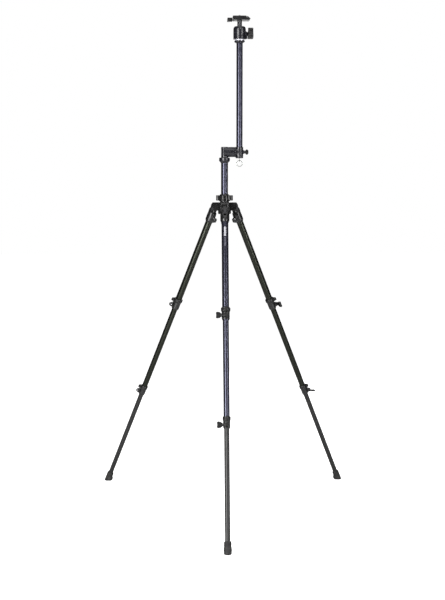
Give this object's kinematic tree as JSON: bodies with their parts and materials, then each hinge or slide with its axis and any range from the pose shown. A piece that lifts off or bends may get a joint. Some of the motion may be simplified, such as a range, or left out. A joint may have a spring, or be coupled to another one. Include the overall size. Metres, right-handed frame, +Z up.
{
  "type": "camera tripod",
  "caption": "Camera tripod with telescopic legs, a centre column, a swivelling side arm that clamps a second mast, and a ball head with a quick-release camera plate.",
  "frame": {"origin": "on the floor, at the centre of the tripod's footprint and outline seen from above", "axes": "+Z up along the column and mast, -Y towards the front leg, +X towards the side arm"},
  "size_m": [0.977, 0.8496, 1.8141],
  "materials": {
    "casting": "black powder coat on a casting",
    "steel": "zinc-plated steel",
    "black_plastic": "glass-filled nylon",
    "anodised_tube": "satin blue-black anodised",
    "matte_tube": "matte grey anodised",
    "rubber": "matte",
    "bright_wire": "polished",
    "silver": "satin",
    "ball_metal": "satin grey anodised",
    "plate_metal": "black anodised"
  },
  "bodies": {
    "spider_body": {"spider": "casting", "hinge_bolts": "steel", "column_bush": "black_plastic"},
    "front_upper": {"front_socket": "casting", "front_pinch_bolt": "steel", "front_upper_tube": "anodised_tube", "front_upper_lock": "black_plastic", "badge": "silver"},
    "front_stop": {"front_stop_tab": "steel"},
    "front_upper_screw": {"front_upper_wing": "black_plastic"},
    "front_middle": {"front_middle_tube": "anodised_tube", "front_lower_lock": "black_plastic"},
    "front_lower_screw": {"front_lower_wing": "black_plastic"},
    "front_lower": {"front_lower_tube": "matte_tube", "front_foot": "rubber"},
    "right_upper": {"right_socket": "casting", "right_pinch_bolt": "steel", "right_upper_tube": "anodised_tube", "right_upper_lock": "black_plastic"},
    "right_stop": {"right_stop_tab": "steel"},
    "right_upper_screw": {"right_upper_wing": "black_plastic"},
    "right_middle": {"right_middle_tube": "anodised_tube", "right_lower_lock": "black_plastic"},
    "right_lower_screw": {"right_lower_wing": "black_plastic"},
    "right_lower": {"right_lower_tube": "matte_tube", "right_foot": "rubber"},
    "left_upper": {"left_socket": "casting", "left_pinch_bolt": "steel", "left_upper_tube": "anodised_tube", "left_upper_lock": "black_plastic"},
    "left_stop": {"left_stop_tab": "steel"},
    "left_upper_screw": {"left_upper_wing": "black_plastic"},
    "left_middle": {"left_middle_tube": "anodised_tube", "left_lower_lock": "black_plastic"},
    "left_lower_screw": {"left_lower_wing": "black_plastic"},
    "left_lower": {"left_lower_tube": "matte_tube", "left_foot": "rubber"},
    "nut": {"collar_nut": "black_plastic"},
    "column": {"column_tube": "anodised_tube", "column_flange": "casting", "column_plug": "black_plastic"},
    "arm": {"arm_block": "casting", "arm_screw": "steel"},
    "clamp": {"tube_clamp": "casting", "pivot_bolt": "steel"},
    "arm_thumb": {"thumbscrew": "black_plastic"},
    "mast": {"mast_tube": "anodised_tube", "mast_flange": "casting", "mast_plug": "black_plastic", "head_stud": "steel"},
    "ring": {"hook_ring": "bright_wire"},
    "head": {"head_body": "casting", "head_base": "silver"},
    "knob": {"ball_knob": "black_plastic"},
    "ball": {"ball_stem": "ball_metal", "platform": "casting"},
    "lever": {"release_lever": "black_plastic"},
    "plate": {"quick_plate": "plate_metal", "plate_pad": "rubber"},
    "screw": {"camera_screw": "steel"}
  },
  "joints": [
    {"name": "front_fold", "type": "hinge", "parent": "spider_body", "child": "front_upper", "pos_m": [0, 0.09293, 1.11556], "axis": [-1, 0, 0], "range_deg": [-24, 56]},
    {"name": "front_stop_pull", "type": "slide", "parent": "front_upper", "child": "front_stop", "axis": [0, -0.4117, -0.9113], "range_m": [0, 0.005], "stiffness_N_per_m": 400, "springref_m": -0.004},
    {"name": "front_upper_screw_turn", "type": "hinge", "parent": "front_upper", "child": "front_upper_screw", "pos_m": [0, -0.09619, 0.74671], "axis": [1, 0, 0], "range_deg": [-180, 180]},
    {"name": "front_middle_slide", "type": "slide", "parent": "front_upper", "child": "front_middle", "axis": [0, 0.4117, 0.9113], "range_m": [0, 0.33]},
    {"name": "front_lower_screw_turn", "type": "hinge", "parent": "front_middle", "child": "front_lower_screw", "pos_m": [0, -0.25455, 0.39249], "axis": [1, 0, 0], "range_deg": [-180, 180]},
    {"name": "front_lower_slide", "type": "slide", "parent": "front_middle", "child": "front_lower", "axis": [0, 0.4117, 0.9113], "range_m": [0, 0.36]},
    {"name": "right_fold", "type": "hinge", "parent": "spider_body", "child": "right_upper", "pos_m": [0.03817, 0.15904, 1.11556], "axis": [0.5, -0.866, 0], "range_deg": [-24, 56]},
    {"name": "right_stop_pull", "type": "slide", "parent": "right_upper", "child": "right_stop", "axis": [0.3565, 0.2058, -0.9113], "range_m": [0, 0.005], "stiffness_N_per_m": 400, "springref_m": -0.004},
    {"name": "right_upper_screw_turn", "type": "hinge", "parent": "right_upper", "child": "right_upper_screw", "pos_m": [0.20194, 0.25359, 0.74671], "axis": [-0.5, 0.866, 0], "range_deg": [-180, 180]},
    {"name": "right_middle_slide", "type": "slide", "parent": "right_upper", "child": "right_middle", "axis": [-0.3565, -0.2058, 0.9113], "range_m": [0, 0.33]},
    {"name": "right_lower_screw_turn", "type": "hinge", "parent": "right_middle", "child": "right_lower_screw", "pos_m": [0.33909, 0.33277, 0.39249], "axis": [-0.5, 0.866, 0], "range_deg": [-180, 180]},
    {"name": "right_lower_slide", "type": "slide", "parent": "right_middle", "child": "right_lower", "axis": [-0.3565, -0.2058, 0.9113], "range_m": [0, 0.36]},
    {"name": "left_fold", "type": "hinge", "parent": "spider_body", "child": "left_upper", "pos_m": [-0.03817, 0.15904, 1.11556], "axis": [0.5, 0.866, 0], "range_deg": [-24, 56]},
    {"name": "left_stop_pull", "type": "slide", "parent": "left_upper", "child": "left_stop", "axis": [-0.3565, 0.2058, -0.9113], "range_m": [0, 0.005], "stiffness_N_per_m": 400, "springref_m": -0.004},
    {"name": "left_upper_screw_turn", "type": "hinge", "parent": "left_upper", "child": "left_upper_screw", "pos_m": [-0.20194, 0.25359, 0.74671], "axis": [-0.5, -0.866, 0], "range_deg": [-180, 180]},
    {"name": "left_middle_slide", "type": "slide", "parent": "left_upper", "child": "left_middle", "axis": [0.3565, -0.2058, 0.9113], "range_m": [0, 0.33]},
    {"name": "left_lower_screw_turn", "type": "hinge", "parent": "left_middle", "child": "left_lower_screw", "pos_m": [-0.33909, 0.33277, 0.39249], "axis": [-0.5, -0.866, 0], "range_deg": [-180, 180]},
    {"name": "left_lower_slide", "type": "slide", "parent": "left_middle", "child": "left_lower", "axis": [0.3565, -0.2058, 0.9113], "range_m": [0, 0.36]},
    {"name": "nut_turn", "type": "hinge", "parent": "spider_body", "child": "nut", "pos_m": [0, 0.137, 1.155], "axis": [0, 0, 1], "range_deg": [-90, 90]},
    {"name": "column_slide", "type": "slide", "parent": "spider_body", "child": "column", "axis": [0, 0, 1], "range_m": [-0.112, 0]},
    {"name": "arm_pan", "type": "hinge", "parent": "column", "child": "arm", "pos_m": [0, 0.137, 1.302], "axis": [0, 0, 1], "continuous": true},
    {"name": "arm_tilt", "type": "hinge", "parent": "arm", "child": "clamp", "pos_m": [0.0375, 0.137, 1.3225], "axis": [1, 0, 0], "range_deg": [-120, 120]},
    {"name": "arm_thumb_turn", "type": "hinge", "parent": "clamp", "child": "arm_thumb", "pos_m": [0.07475, 0.137, 1.3225], "axis": [1, 0, 0], "range_deg": [-180, 180]},
    {"name": "mast_slide", "type": "slide", "parent": "clamp", "child": "mast", "axis": [0, 0, 1], "range_m": [-0.11, 0]},
    {"name": "ring_swing", "type": "hinge", "parent": "mast", "child": "ring", "pos_m": [0.05475, 0.137, 1.2914], "axis": [1, 0, 0], "range_deg": [-80, 80]},
    {"name": "head_pan", "type": "hinge", "parent": "mast", "child": "head", "pos_m": [0.05475, 0.137, 1.7223], "axis": [0, 0, 1], "continuous": true},
    {"name": "ball_knob_turn", "type": "hinge", "parent": "head", "child": "knob", "pos_m": [0.08475, 0.137, 1.7468], "axis": [1, 0, 0], "range_deg": [-180, 180]},
    {"name": "ball_tilt", "type": "hinge", "parent": "head", "child": "ball", "pos_m": [0.05475, 0.137, 1.7577], "axis": [0, 1, 0], "range_deg": [-20, 20]},
    {"name": "lever_open", "type": "hinge", "parent": "ball", "child": "lever", "pos_m": [0.03325, 0.122, 1.798], "axis": [0, 0, 1], "range_deg": [0, 60]},
    {"name": "plate_slide", "type": "slide", "parent": "ball", "child": "plate", "axis": [0, 1, 0], "range_m": [0, 0.055]},
    {"name": "camera_screw_turn", "type": "hinge", "parent": "plate", "child": "screw", "pos_m": [0.05475, 0.137, 1.8096], "axis": [0, 0, 1], "range_deg": [-180, 180]}
  ]
}
